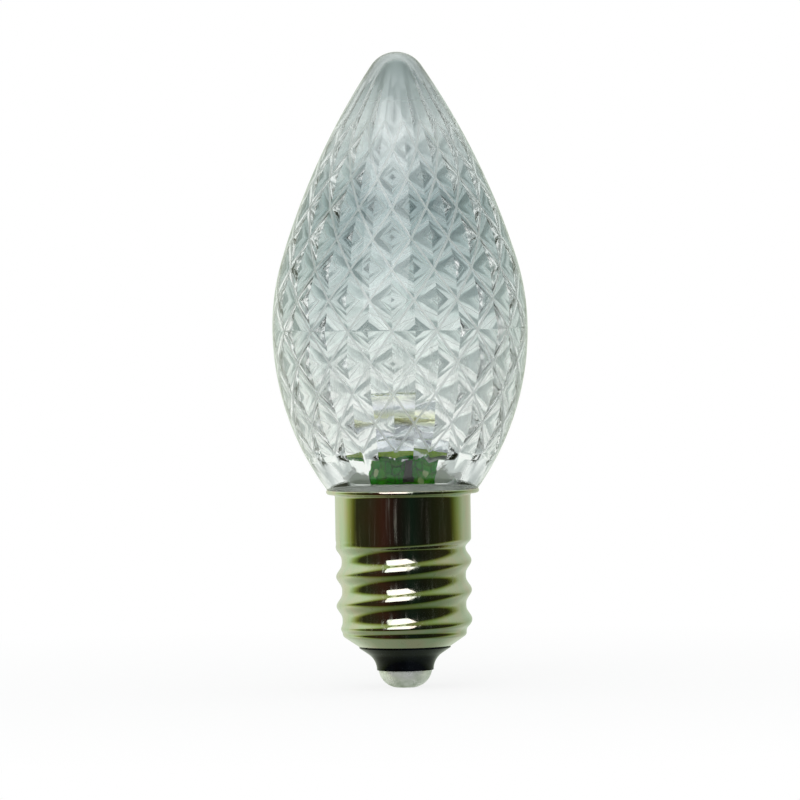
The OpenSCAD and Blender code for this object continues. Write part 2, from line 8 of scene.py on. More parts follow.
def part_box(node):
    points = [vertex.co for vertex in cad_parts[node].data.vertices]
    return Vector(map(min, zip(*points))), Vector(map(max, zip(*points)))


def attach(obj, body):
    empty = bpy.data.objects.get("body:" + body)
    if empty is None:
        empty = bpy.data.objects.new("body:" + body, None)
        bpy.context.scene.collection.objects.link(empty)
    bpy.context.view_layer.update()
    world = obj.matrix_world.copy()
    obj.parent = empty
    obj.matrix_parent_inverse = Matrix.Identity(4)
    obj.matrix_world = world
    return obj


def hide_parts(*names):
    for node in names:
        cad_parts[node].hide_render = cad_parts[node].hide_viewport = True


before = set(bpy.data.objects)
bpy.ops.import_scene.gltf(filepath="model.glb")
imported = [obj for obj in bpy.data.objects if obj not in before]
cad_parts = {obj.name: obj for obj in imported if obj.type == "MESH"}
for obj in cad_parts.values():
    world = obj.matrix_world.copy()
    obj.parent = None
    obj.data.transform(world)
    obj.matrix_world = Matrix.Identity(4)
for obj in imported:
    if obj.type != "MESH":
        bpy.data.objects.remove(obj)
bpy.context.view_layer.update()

MM = 0.001

# Sizes read from the frame, in metres
lens_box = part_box("lens_upper")
shell_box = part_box("screw_shell")
PHOSPHOR_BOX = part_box("led_2_phosphor")
LENS_TIP_Z = lens_box[1][2]
LENS_R = lens_box[1][0]
SEAM_Z = lens_box[0][2]
LIP_R = shell_box[1][0]
NECK_Z = shell_box[1][2]
RIM_Z = shell_box[0][2]

# Lens outline, as in the part's source
UPPER_H = LENS_TIP_Z - SEAM_Z
SHOULDER_TURN = math.atan(0.66 * LENS_R / UPPER_H)
SHOULDER_R = 0.252 * UPPER_H / math.sin(SHOULDER_TURN)
TIP_R = 2.6 * MM
NECK_R = 6.55 * MM
SKIRT_H = 3.7 * MM
SKIRT_T = 0.9 * MM

# Facets of the lens
CELLS = 16
ROW_PITCH = 2.8 * MM
ROWS_UP = 7
ROWS_DOWN = 4
ROW_SHIFT = -0.15 * MM
COLUMN_TURN = math.radians(-94)
WALL_T = 1.6 * MM
TIP_WALL_T = 0.8 * MM
FACET_DEPTH = 0.7 * MM
LAND_W = 0.2 * MM
COLUMN_ANGLE = math.pi / CELLS
TIP_RINGS = 7
NECK_RINGS = 12
FLUTE_FADE = 0.85

# Screw shell
SHELL_R = 5.85 * MM
SHEET_T = 0.3 * MM
THREAD_PITCH = 2.54 * MM
THREAD_DEPTH = 0.5 * MM
THREAD_SHARP = 1.5
THREAD_TURNS = 3.2
THREAD_START = math.radians(202)
RIM_CONE = math.radians(34)
RIM_ROUND = 0.4 * MM
RIM_HOLE_R = 3.8 * MM
LIP_T = 0.45 * MM
LIP_FILLET = 0.25 * MM
THREAD_IN = 0.7 * MM
THREAD_OUT = 0.8 * MM
SLIP = 0.05 * MM
ROOT_R = SHELL_R - THREAD_DEPTH
INNER_R = SHELL_R - SHEET_T
CONE_R = ROOT_R - RIM_ROUND * (1 - math.sin(RIM_CONE))
THREAD_Z0 = RIM_Z + (CONE_R - RIM_HOLE_R) * math.tan(RIM_CONE) + RIM_ROUND * math.cos(RIM_CONE)
THREAD_Z1 = THREAD_Z0 + THREAD_TURNS * THREAD_PITCH
LIP_Z = NECK_Z - LIP_T
SKIRT_R = INNER_R - SLIP
BORE_R = SKIRT_R - SKIRT_T
SKIRT_Z = NECK_Z - SKIRT_H

# Outline arcs worked out from the sizes above
LOWER_DROP = LENS_R - NECK_R
LOWER_RISE = SEAM_Z - NECK_Z
LOWER_ARC_R = (LOWER_RISE ** 2 + LOWER_DROP ** 2) / (2 * LOWER_DROP)
LOWER_LEN = LOWER_ARC_R * math.asin(LOWER_RISE / LOWER_ARC_R)
SHOULDER_END = Vector((LENS_R, SEAM_Z)) + SHOULDER_R * Vector((math.cos(SHOULDER_TURN) - 1, math.sin(SHOULDER_TURN)))
TIP_CENTRE = Vector((0, LENS_TIP_Z - TIP_R))
FLANK_NORMAL = Vector((math.cos(SHOULDER_TURN), math.sin(SHOULDER_TURN)))
TO_TIP = SHOULDER_END - TIP_CENTRE
FLANK_R = (TO_TIP.dot(TO_TIP) - TIP_R ** 2) / (2 * (TO_TIP.dot(FLANK_NORMAL) - TIP_R))
FLANK_CENTRE = SHOULDER_END - FLANK_R * FLANK_NORMAL
TIP_TURN = math.atan2(TIP_CENTRE[1] - FLANK_CENTRE[1], TIP_CENTRE[0] - FLANK_CENTRE[0])
SHOULDER_LEN = SHOULDER_R * SHOULDER_TURN
FLANK_LEN = FLANK_R * (TIP_TURN - SHOULDER_TURN)
UPPER_LEN = SHOULDER_LEN + FLANK_LEN + TIP_R * (math.pi / 2 - TIP_TURN)


def outline(s, depth=0.0):
    """Radius and height of the lens at the arc length s above the weld, moved in by a depth."""
    if s < 0:
        angle = s / LOWER_ARC_R
        centre, r = Vector((LENS_R - LOWER_ARC_R, SEAM_Z)), LOWER_ARC_R
    elif s < SHOULDER_LEN:
        angle = s / SHOULDER_R
        centre, r = Vector((LENS_R - SHOULDER_R, SEAM_Z)), SHOULDER_R
    elif s < SHOULDER_LEN + FLANK_LEN:
        angle = SHOULDER_TURN + (s - SHOULDER_LEN) / FLANK_R
        centre, r = FLANK_CENTRE, FLANK_R
    else:
        angle = TIP_TURN + (s - SHOULDER_LEN - FLANK_LEN) / TIP_R
        centre, r = TIP_CENTRE, TIP_R
    return centre + (r - depth) * Vector((math.cos(angle), math.sin(angle)))


def arc(cx, cz, r, start, end, steps):
    """Points of an arc in the upright plane, from one angle to another in degrees."""
    turns = [math.radians(start + (end - start) * i / steps) for i in range(steps + 1)]
    return [(cx + r * math.cos(t), cz + r * math.sin(t)) for t in turns]


def ease(t):
    c = min(1.0, max(0.0, t))
    return c * c * (3 - 2 * c)


def around(r, z, angle):
    return (r * math.cos(angle), r * math.sin(angle), z)


def make_piece(name, bm, slot, *materials):
    """Turns a bmesh into an object that rides on the part."""
    bmesh.ops.recalc_face_normals(bm, faces=bm.faces)
    mesh = bpy.data.meshes.new(name)
    bm.to_mesh(mesh)
    bm.free()
    piece = bpy.data.objects.new(name, mesh)
    bpy.context.scene.collection.objects.link(piece)
    for material in materials:
        mesh.materials.append(material)
    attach(piece, "root")
    return piece


def grid(bm, rows, closed_rows):
    """Joins rows of vertices, each a closed ring, into quads; closed_rows joins the last to the first."""
    count = len(rows)
    faces = []
    for i in range(count if closed_rows else count - 1):
        a, b = rows[i], rows[(i + 1) % count]
        for j in range(len(a)):
            k = (j + 1) % len(a)
            faces.append(bm.faces.new((a[j], a[k], b[k], b[j])))
    return faces


def rings(bm, profile, segments):
    """A ring of vertices for each point of a profile; the profile keeps off the axis."""
    turns = [2 * math.pi * j / segments for j in range(segments)]
    return [[bm.verts.new(around(r, z, t)) for t in turns] for r, z in profile]


def fan(bm, ring, z):
    """Closes a ring with triangles to a point on the axis."""
    pole = bm.verts.new((0, 0, z))
    return [bm.faces.new((ring[j], ring[(j + 1) % len(ring)], pole)) for j in range(len(ring))]


def sharpen(mesh, degrees):
    """Smooth shading that breaks at edges sharper than an angle, without touching flat faces."""
    mesh.set_sharp_from_angle(angle=math.radians(degrees))


# The facet lattice: a cell has a left, right, top and bottom corner and the apex of its pyramid
LEFT, RIGHT, TOP, BOTTOM, APEX = range(5)
CLEAR, RIDGE, WELD, OUTER, SKIRT = range(5)


def row_s(k):
    return ROW_SHIFT + k * ROW_PITCH


def row_r(k):
    return outline(row_s(k), WALL_T)[0]


def row_depth(k):
    return FACET_DEPTH * row_r(k) / (LENS_R - WALL_T)


def corner_in(k):
    half = row_r(k) * COLUMN_ANGLE
    return min(0.25, LAND_W / 2 * math.hypot(half, ROW_PITCH) / (half * ROW_PITCH))


def column(k, j):
    return 2 * j + (1 if k % 2 == 0 else 0)


def wall_at(s):
    """The wall thins towards the tip beyond the last row of pyramids."""
    last = row_s(ROWS_UP)
    return WALL_T + (TIP_WALL_T - WALL_T) * ease((s - last) / (UPPER_LEN - last))


def core_point(i, s, depth):
    r, z = outline(s, wall_at(s) - depth)
    return around(r, z, COLUMN_TURN + i * COLUMN_ANGLE)


def cell_points(k, j):
    i, c, s = column(k, j), corner_in(k), row_s(k)
    return [
        core_point(i - 1 + c, s, 0),
        core_point(i + 1 - c, s, 0),
        core_point(i, s + (1 - c) * ROW_PITCH, 0),
        core_point(i, s - (1 - c) * ROW_PITCH, 0),
        core_point(i, s, row_depth(k)),
    ]


def flute_ring(bm, k, s, fade):
    """A ring of flutes that carries on from the end row k."""
    ring = []
    for j in range(CELLS):
        i, c = column(k, j), corner_in(k)
        ring.append(bm.verts.new(core_point(i - 1 + c, s, 0)))
        ring.append(bm.verts.new(core_point(i, s, row_depth(k) * fade)))
        ring.append(bm.verts.new(core_point(i + 1 - c, s, 0)))
    return ring


def add_facets(bm):
    """The faceted inside of the lens, from the tip down to an open ring at the neck."""
    lo, hi = -ROWS_DOWN, ROWS_UP
    cell = {}
    for k in range(lo, hi + 1):
        for j in range(CELLS):
            cell[k, j] = [bm.verts.new(p) for p in cell_points(k, j)]

    def at(k, j, c):
        return cell[k, j % CELLS][c]

    def face(*verts):
        bm.faces.new(verts)

    def ridge(*verts):
        bm.faces.new(verts).material_index = RIDGE

    for k in range(lo, hi + 1):
        lean = 1 if k % 2 == 0 else 0
        for j in range(CELLS):
            m = j + lean
            if k < hi:
                face(at(k, j, LEFT), at(k, j, TOP), at(k, j, APEX))
                face(at(k, j, TOP), at(k, j, RIGHT), at(k, j, APEX))
                ridge(at(k, j, TOP), at(k + 1, m, LEFT), at(k + 1, m, BOTTOM), at(k, j, RIGHT))
                ridge(at(k, j, LEFT), at(k + 1, m - 1, BOTTOM), at(k + 1, m - 1, RIGHT), at(k, j, TOP))
            if k > lo:
                face(at(k, j, RIGHT), at(k, j, BOTTOM), at(k, j, APEX))
                face(at(k, j, BOTTOM), at(k, j, LEFT), at(k, j, APEX))
            if k == hi:
                ridge(at(k, j, RIGHT), at(k, j + 1, LEFT), at(k - 1, m, TOP))
            elif k == lo:
                ridge(at(k, j, RIGHT), at(k + 1, m, BOTTOM), at(k, j + 1, LEFT))
            else:
                ridge(at(k, j, RIGHT), at(k + 1, m, BOTTOM), at(k, j + 1, LEFT), at(k - 1, m, TOP))
    upper = [[at(hi, j, c) for j in range(CELLS) for c in (LEFT, APEX, RIGHT)]]
    lower = [[at(lo, j, c) for j in range(CELLS) for c in (LEFT, APEX, RIGHT)]]
    for m in range(1, TIP_RINGS + 1):
        s = row_s(hi) + (UPPER_LEN - row_s(hi)) * m / (TIP_RINGS + 1)
        upper.append(flute_ring(bm, hi, s, max(0, 1 - m / (TIP_RINGS * FLUTE_FADE))))
    for m in range(1, NECK_RINGS + 1):
        s = row_s(lo) + (-LOWER_LEN - row_s(lo)) * m / NECK_RINGS
        lower.append(flute_ring(bm, lo, s, max(0, 1 - m / NECK_RINGS) ** 2))
    grid(bm, upper, False)
    for f in grid(bm, lower, False):
        f.smooth = True
    fan(bm, upper[-1], outline(UPPER_LEN, TIP_WALL_T)[1])
    return lower[-1]


def ring_edges(ring):
    pairs = [(ring[j], ring[(j + 1) % len(ring)]) for j in range(len(ring))]
    edges = []
    for a, b in pairs:
        edges += [e for e in a.link_edges if e.other_vert(a) is b]
    return edges


def whole_lens():
    """Both mouldings in one closed mesh: smooth outside, faceted inside."""
    segments, upper_steps, lower_steps = 192, 90, 64
    bm = bmesh.new()
    neck_ring = add_facets(bm)
    flat = set(bm.faces)
    upper = [outline(UPPER_LEN * (1 - i / upper_steps)) for i in range(1, upper_steps + 1)]
    lower = [outline(-LOWER_LEN * i / lower_steps) for i in range(1, lower_steps + 1)]
    ledge_z = neck_ring[0].co.z
    skirt = [(SKIRT_R, NECK_Z), (SKIRT_R, SKIRT_Z), (BORE_R, SKIRT_Z), (BORE_R, ledge_z)]
    outer = rings(bm, [tuple(p) for p in upper + lower] + skirt, segments)
    grid(bm, outer, False)
    fan(bm, outer[0], LENS_TIP_Z)
    bmesh.ops.triangle_fill(bm, use_beauty=True, edges=ring_edges(neck_ring) + ring_edges(outer[-1]))
    for f in bm.faces:
        f.smooth = f.smooth or f not in flat
        if f not in flat:
            f.material_index = OUTER if f.calc_center_median().z > NECK_Z else SKIRT
    return bm


def lens_half(name, keep_upper, materials):
    """One moulding, cut from the whole lens at the weld and closed there."""
    bm = whole_lens()
    geometry = bm.verts[:] + bm.edges[:] + bm.faces[:]
    bmesh.ops.bisect_plane(bm, geom=geometry, plane_co=(0, 0, SEAM_Z), plane_no=(0, 0, 1),
                           dist=1e-8, clear_outer=not keep_upper, clear_inner=keep_upper)
    rim = [e for e in bm.edges if e.is_boundary]
    cap = bmesh.ops.triangle_fill(bm, use_beauty=True, edges=rim)
    for f in cap["geom"]:
        if isinstance(f, bmesh.types.BMFace):
            f.smooth = False
            f.material_index = WELD
    piece = make_piece(name + "_clear", bm, "lens", *materials)
    sharpen(piece.data, 35)
    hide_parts(name)
    return piece


def thread_r(z, angle):
    """Radius of the thread's outer face at a height and a direction."""
    low = ease((z - THREAD_Z0) / THREAD_IN)
    high = ease((THREAD_Z1 - z) / THREAD_OUT)
    phase = 2 * math.pi * (z - THREAD_Z0) / THREAD_PITCH - (angle - THREAD_START)
    wave = ((1 + math.cos(phase)) / 2) ** THREAD_SHARP
    return SHELL_R - THREAD_DEPTH * (1 - low) - THREAD_DEPTH * low * high * (1 - wave)


def shell_piece(material):
    """The screw shell in one closed sheet: rim, rolled thread, band and flared lip."""
    segments, outer_steps, inner_steps = 256, 120, 60
    bm = bmesh.new()
    cone = math.degrees(RIM_CONE)
    below = [(RIM_HOLE_R, RIM_Z)] + arc(ROOT_R - RIM_ROUND, THREAD_Z0, RIM_ROUND, cone - 90, 0, 10)[:-1]
    above = arc(SHELL_R + LIP_FILLET, LIP_Z - LIP_FILLET, LIP_FILLET, 180, 90, 8)
    above += arc(LIP_R - LIP_T / 2, LIP_Z + LIP_T / 2, LIP_T / 2, -90, 90, 14)
    above += [(INNER_R, NECK_Z)]
    inside = arc(ROOT_R - RIM_ROUND, THREAD_Z0, RIM_ROUND - SHEET_T, 0, cone - 90, 5)[1:]
    inside += [(RIM_HOLE_R, RIM_Z + SHEET_T / math.cos(RIM_CONE))]
    rows = rings(bm, below, segments)
    turns = [2 * math.pi * j / segments for j in range(segments)]
    height = THREAD_Z1 - THREAD_Z0
    for i in range(outer_steps + 1):
        z = THREAD_Z0 + height * i / outer_steps
        rows.append([bm.verts.new(around(thread_r(z, t), z, t)) for t in turns])
    rows += rings(bm, above, segments)
    for i in range(inner_steps + 1):
        z = THREAD_Z1 - height * i / inner_steps
        rows.append([bm.verts.new(around(thread_r(z, t) - SHEET_T, z, t)) for t in turns])
    rows += rings(bm, inside, segments)
    for f in grid(bm, rows, True):
        f.smooth = True
    piece = make_piece("screw_shell_plated", bm, "shell", material)
    sharpen(piece.data, 40)
    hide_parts("screw_shell")
    return piece


# Materials
def new_material(name):
    material = bpy.data.materials.new(name)
    material.use_nodes = True
    return material, material.node_tree, material.node_tree.nodes["Principled BSDF"]


def add_node(tree, kind, **values):
    node = tree.nodes.new(kind)
    for key, value in values.items():
        setattr(node, key, value)
    return node


def colour_ramp(tree, value, stops):
    """Colour ramp fed by a value."""
    node = add_node(tree, "ShaderNodeValToRGB")
    ramp = node.color_ramp
    while len(ramp.elements) < len(stops):
        ramp.elements.new(0.5)
    for element, (pos, colour) in zip(ramp.elements, stops):
        element.position = pos
        element.color = (*colour, 1)
    tree.links.new(value, node.inputs["Fac"])
    return node.outputs["Color"]


def math_node(tree, operation, *values):
    """Math node whose inputs are sockets or numbers."""
    node = add_node(tree, "ShaderNodeMath", operation=operation)
    for i, value in enumerate(values):
        if isinstance(value, (int, float)):
            node.inputs[i].default_value = value
        else:
            tree.links.new(value, node.inputs[i])
    return node.outputs["Value"]


def mix_colour(tree, share, a, b, blend="MIX"):
    node = add_node(tree, "ShaderNodeMix", data_type="RGBA", blend_type=blend)
    for name, value in (("Factor", share), ("A", a), ("B", b)):
        if isinstance(value, (int, float, tuple)):
            node.inputs[name].default_value = value
        else:
            tree.links.new(value, node.inputs[name])
    return node.outputs["Result"]


def object_place(tree, stretch=(1, 1, 1)):
    """Object coordinates, stretched along the axes."""
    place = add_node(tree, "ShaderNodeTexCoord")
    mapping = add_node(tree, "ShaderNodeMapping")
    mapping.inputs["Scale"].default_value = stretch
    tree.links.new(place.outputs["Object"], mapping.inputs["Vector"])
    return mapping.outputs["Vector"]


def noise(tree, scale, stretch=(1, 1, 1), detail=3.0):
    node = add_node(tree, "ShaderNodeTexNoise")
    node.inputs["Scale"].default_value = scale
    node.inputs["Detail"].default_value = detail
    tree.links.new(object_place(tree, stretch), node.inputs["Vector"])
    return node.outputs["Fac"]


def bump(tree, shader, height, strength, distance):
    node = add_node(tree, "ShaderNodeBump")
    node.inputs["Strength"].default_value = strength
    node.inputs["Distance"].default_value = distance
    tree.links.new(height, node.inputs["Height"])
    tree.links.new(node.outputs["Normal"], shader.inputs["Normal"])


def value_ramp(tree, value, stops):
    """Ramp of plain numbers fed by a value."""
    return colour_ramp(tree, value, [(pos, (level, level, level)) for pos, level in stops])


def height_share(tree):
    """Height above the origin as a share of the bulb's length."""
    split = add_node(tree, "ShaderNodeSeparateXYZ")
    tree.links.new(object_place(tree), split.inputs["Vector"])
    return math_node(tree, "DIVIDE", split.outputs["Z"], LENS_TIP_Z)


def outer_material():
    """Polished outside of the lens, with faint rubbing and a tone painted lighter and darker by height."""
    material, tree, shader = new_material("lens_outside")
    shader.inputs["Transmission Weight"].default_value = 1.0
    shader.inputs["IOR"].default_value = 1.58
    rub = noise(tree, 700.0, (1, 1, 0.25))
    tree.links.new(value_ramp(tree, rub, [(0.45, 0.01), (0.75, 0.05)]), shader.inputs["Roughness"])
    # Painted light and shade: the tone follows height, lighter at and below the weld for light reflected from the
    # diodes and the shell's lip, darker above, with a lighter band near the tip and darkest at the tip.
    tone = colour_ramp(tree, height_share(tree), [
        (SEAM_Z / LENS_TIP_Z, (0.96, 0.985, 0.97)), (0.75, (0.86, 0.90, 0.895)),
        (0.88, (0.90, 0.94, 0.935)), (1.0, (0.70, 0.75, 0.755))])
    tree.links.new(tone, shader.inputs["Base Color"])
    bump(tree, shader, noise(tree, 260.0), 0.12, 0.00008)
    return material


def lens_material():
    """Faceted inside of the lens: a grey green tint with painted light and shade by height, near white at and below
    the weld where it stands in for light reflected from the diodes and the shell's lip, darker above with a lighter
    band near the tip, and hazy flow streaks.
    """
    material, tree, shader = new_material("lens_plastic")
    shader.inputs["IOR"].default_value = 1.58
    height = height_share(tree)
    rough = value_ramp(tree, height, [(0.77, 0.025), (0.86, 0.20), (1.0, 0.38)])
    tree.links.new(rough, shader.inputs["Roughness"])
    neck, seam = NECK_Z / LENS_TIP_Z, SEAM_Z / LENS_TIP_Z
    # Painted light and shade over the plastic's real grey green tint: the tint follows height, near white at and below
    # the weld for light reflected from the diodes and the shell's lip, darker above, with a lighter band near the tip.
    tint_and_painted_light = colour_ramp(tree, height, [
        (neck, (1.0, 1.0, 0.98)), (0.47, (0.98, 1.0, 0.975)), (seam, (0.80, 0.86, 0.84)),
        (0.66, (0.52, 0.60, 0.60)), (0.76, (0.34, 0.42, 0.43)), (0.88, (0.86, 0.90, 0.90)),
        (1.0, (0.36, 0.43, 0.435))])
    tree.links.new(tint_and_painted_light, shader.inputs["Base Color"])
    streaks = value_ramp(tree, noise(tree, 1000.0, (1, 1, 0.07)), [(0.42, 0.0), (0.66, 1.0)])
    haze = value_ramp(tree, height, [(0.37, 0.0), (0.41, 0.24), (0.50, 0.44), (seam + 0.04, 0.08)])
    share = math_node(tree, "MULTIPLY", haze, streaks)
    tree.links.new(math_node(tree, "SUBTRACT", 1.0, share), shader.inputs["Transmission Weight"])
    low = value_ramp(tree, height, [(0.40, 1.0), (0.55, 0.0)])
    flow = math_node(tree, "MULTIPLY", low, noise(tree, 1500.0, (1, 1, 0.08)))
    bump(tree, shader, math_node(tree, "ADD", flow, noise(tree, 260.0)), 0.14, 0.0001)
    return material


def ridge_material():
    """Ridges between the facets, left satin by the cutter that made the mould."""
    material, tree, shader = new_material("lens_ridge")
    shader.inputs["Transmission Weight"].default_value = 0.65
    shader.inputs["IOR"].default_value = 1.58
    shader.inputs["Roughness"].default_value = 0.35
    worn = colour_ramp(tree, noise(tree, 420.0), [(0.3, (0.90, 0.93, 0.92)), (0.7, (0.99, 1.0, 0.99))])
    tree.links.new(worn, shader.inputs["Base Color"])
    bump(tree, shader, noise(tree, 2600.0), 0.3, 0.00004)
    return material


def skirt_material():
    """Skirt and ledge inside the shell, whitened by the glue that holds them."""
    material, tree, shader = new_material("lens_skirt")
    shader.inputs["Transmission Weight"].default_value = 0.12
    shader.inputs["IOR"].default_value = 1.5
    glue = noise(tree, 800.0)
    tone = colour_ramp(tree, glue, [(0.3, (0.88, 0.90, 0.86)), (0.7, (0.99, 1.0, 0.96))])
    tree.links.new(tone, shader.inputs["Base Color"])
    tree.links.new(value_ramp(tree, glue, [(0.3, 0.7), (0.7, 0.45)]), shader.inputs["Roughness"])
    bump(tree, shader, glue, 0.25, 0.00006)
    return material


def weld_material():
    """The weld passes light as solid plastic does, apart from a faint haze."""
    material, tree, shader = new_material("lens_weld")
    cloud = colour_ramp(tree, noise(tree, 900.0), [(0.3, (0.78, 0.85, 0.83)), (0.7, (0.90, 0.96, 0.94))])
    tree.links.new(cloud, shader.inputs["Base Color"])
    clear = add_node(tree, "ShaderNodeBsdfTransparent")
    mix = add_node(tree, "ShaderNodeMixShader")
    mix.inputs["Fac"].default_value = 0.12
    tree.links.new(clear.outputs["BSDF"], mix.inputs[1])
    tree.links.new(shader.outputs["BSDF"], mix.inputs[2])
    tree.links.new(mix.outputs["Shader"], tree.nodes["Material Output"].inputs["Surface"])
    return material


def nickel_material():
    """Bright nickel plate over rolled brass: draw marks along the axis and a warm and cool bloom."""
    material, tree, shader = new_material("nickel_plate")
    shader.inputs["Metallic"].default_value = 1.0
    marks = noise(tree, 3000.0, (1, 1, 0.05), 5.0)
    bloom = colour_ramp(tree, noise(tree, 620.0, (1, 1, 0.35)), [
        (0.34, (0.65, 0.73, 0.60)), (0.5, (0.73, 0.73, 0.62)), (0.66, (0.80, 0.70, 0.61))])
    tree.links.new(bloom, shader.inputs["Base Color"])
    rough = value_ramp(tree, marks, [(0.40, 0.07), (0.55, 0.13), (0.72, 0.34)])
    tree.links.new(rough, shader.inputs["Roughness"])
    bump(tree, shader, marks, 0.10, 0.00002)
    return material


def insulator_material():
    """Glossy black plastic, moulded through the rim of the shell, with a few shallow ripples."""
    material, tree, shader = new_material("insulator_black")
    tone = colour_ramp(tree, noise(tree, 520.0, (1, 1, 0.3)), [
        (0.35, (0.001, 0.0015, 0.002)), (0.7, (0.006, 0.007, 0.010))])
    tree.links.new(tone, shader.inputs["Base Color"])
    shader.inputs["Roughness"].default_value = 0.06
    shader.inputs["Specular IOR Level"].default_value = 0.22
    bump(tree, shader, noise(tree, 700.0), 0.05, 0.00004)
    return material


def contact_material():
    """Tinned contact: satin solder skin with brighter rubbed patches."""
    material, tree, shader = new_material("tinned_contact")
    shader.inputs["Metallic"].default_value = 0.5
    patches = noise(tree, 1100.0)
    tone = colour_ramp(tree, patches, [
        (0.32, (0.70, 0.75, 0.66)), (0.5, (0.90, 0.93, 0.87)), (0.7, (1.0, 1.0, 0.98))])
    tree.links.new(tone, shader.inputs["Base Color"])
    rough = value_ramp(tree, patches, [(0.35, 0.48), (0.7, 0.24)])
    tree.links.new(rough, shader.inputs["Roughness"])
    bump(tree, shader, noise(tree, 2300.0), 0.25, 0.00004)
    return material


def metal_material(name, colour, roughness, scale, strength):
    """Tin or solder with a slightly uneven skin."""
    material, tree, shader = new_material(name)
    shader.inputs["Metallic"].default_value = 1.0
    skin = noise(tree, scale)
    tone = colour_ramp(tree, skin, [(0.3, [c * 0.82 for c in colour]), (0.7, [min(1, c * 1.1) for c in colour])])
    tree.links.new(tone, shader.inputs["Base Color"])
    rough = value_ramp(tree, skin, [(0.3, roughness * 1.4), (0.7, roughness * 0.8)])
    tree.links.new(rough, shader.inputs["Roughness"])
    bump(tree, shader, skin, strength, 0.00003)
    return material


def plain_material(name, colour, roughness, scale=1500.0, strength=0.15):
    """Moulded or pressed material with fine grain and uneven tone."""
    material, tree, shader = new_material(name)
    grain = noise(tree, scale)
    tone = colour_ramp(tree, grain, [(0.3, [c * 0.7 for c in colour]), (0.7, [min(1, c * 1.3) for c in colour])])
    tree.links.new(tone, shader.inputs["Base Color"])
    shader.inputs["Roughness"].default_value = roughness
    bump(tree, shader, grain, strength, 0.00003)
    return material


def board_material(name, mask, track, laminate):
    """Circuit board: solder mask over copper tracks, vias in a pale cream that is partly painted highlight, and
    patches of bare laminate.
    """
    material, tree, shader = new_material(name)
    cells = add_node(tree, "ShaderNodeTexVoronoi", feature="DISTANCE_TO_EDGE", distance="CHEBYCHEV")
    cells.inputs["Scale"].default_value = 1500.0
    cells.inputs["Randomness"].default_value = 0.7
    tree.links.new(object_place(tree), cells.inputs["Vector"])
    lines = value_ramp(tree, cells.outputs["Distance"], [(0.06, 1.0), (0.10, 0.0)])
    dots = add_node(tree, "ShaderNodeTexVoronoi", feature="F1")
    dots.inputs["Scale"].default_value = 1000.0
    tree.links.new(object_place(tree), dots.inputs["Vector"])
    vias_and_highlights = value_ramp(tree, dots.outputs["Distance"], [(0.20, 1.0), (0.26, 0.0)])
    weave = noise(tree, 3000.0, (1, 1, 1), 2.0)
    skin = mix_colour(tree, lines, (*mask, 1), (*track, 1))
    # Vias in a pale cream: partly real vias, partly painted highlight standing in for pale glints on the board.
    skin = mix_colour(tree, vias_and_highlights, skin, (0.62, 0.74, 0.40, 1))
    cloth = colour_ramp(tree, weave, [(0.3, [c * 0.7 for c in laminate]), (0.7, [min(1, c * 1.25) for c in laminate])])
    blotch = value_ramp(tree, noise(tree, 700.0), [(0.45, 0.0), (0.62, 0.3)])
    tree.links.new(mix_colour(tree, blotch, skin, cloth), shader.inputs["Base Color"])
    tree.links.new(value_ramp(tree, weave, [(0.3, 0.45), (0.7, 0.25)]), shader.inputs["Roughness"])
    shader.inputs["Specular IOR Level"].default_value = 0.2
    bump(tree, shader, lines, 0.4, 0.00003)
    return material


def epoxy_material():
    """Water clear epoxy with faint flow lines, and yellow painted light from the phosphor at the phosphor's height."""
    material, tree, shader = new_material("diode_epoxy")
    shader.inputs["Transmission Weight"].default_value = 1.0
    shader.inputs["IOR"].default_value = 1.5
    shader.inputs["Roughness"].default_value = 0.05
    flow = noise(tree, 800.0, (1, 1, 0.3))
    tone = colour_ramp(tree, flow, [(0.3, (0.90, 0.90, 0.96)), (0.7, (0.98, 0.98, 1.0))])
    low, high = (z / LENS_TIP_Z for z in (PHOSPHOR_BOX[0][2], PHOSPHOR_BOX[1][2]))
    # Painted light: the yellow of the phosphor's light scattered in the epoxy, painted into the colour at the
    # phosphor's height.
    glow = value_ramp(tree, height_share(tree), [
        (low - 0.006, 0.0), (low, 1.0), (high, 1.0), (high + 0.012, 0.0)])
    tree.links.new(mix_colour(tree, glow, tone, (0.96, 0.95, 0.70, 1)), shader.inputs["Base Color"])
    bump(tree, shader, flow, 0.08, 0.00003)
    return material


def dress(nodes, material):
    """Gives CAD nodes that keep their shape a material."""
    for name in nodes:
        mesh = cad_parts[name].data
        mesh.materials.clear()
        mesh.materials.append(material)


# Stage, light and camera
FRAME_W = 68.97 * MM
VIEW_X = -0.1 * MM
VIEW_Z = 24.8 * MM
DISTANCE = 0.6
ELEVATION = math.radians(1.5)
ROLL = math.radians(-0.9)
SENSOR = 36.0
PANELS = 8
FLOOR_FADE = 90 * MM


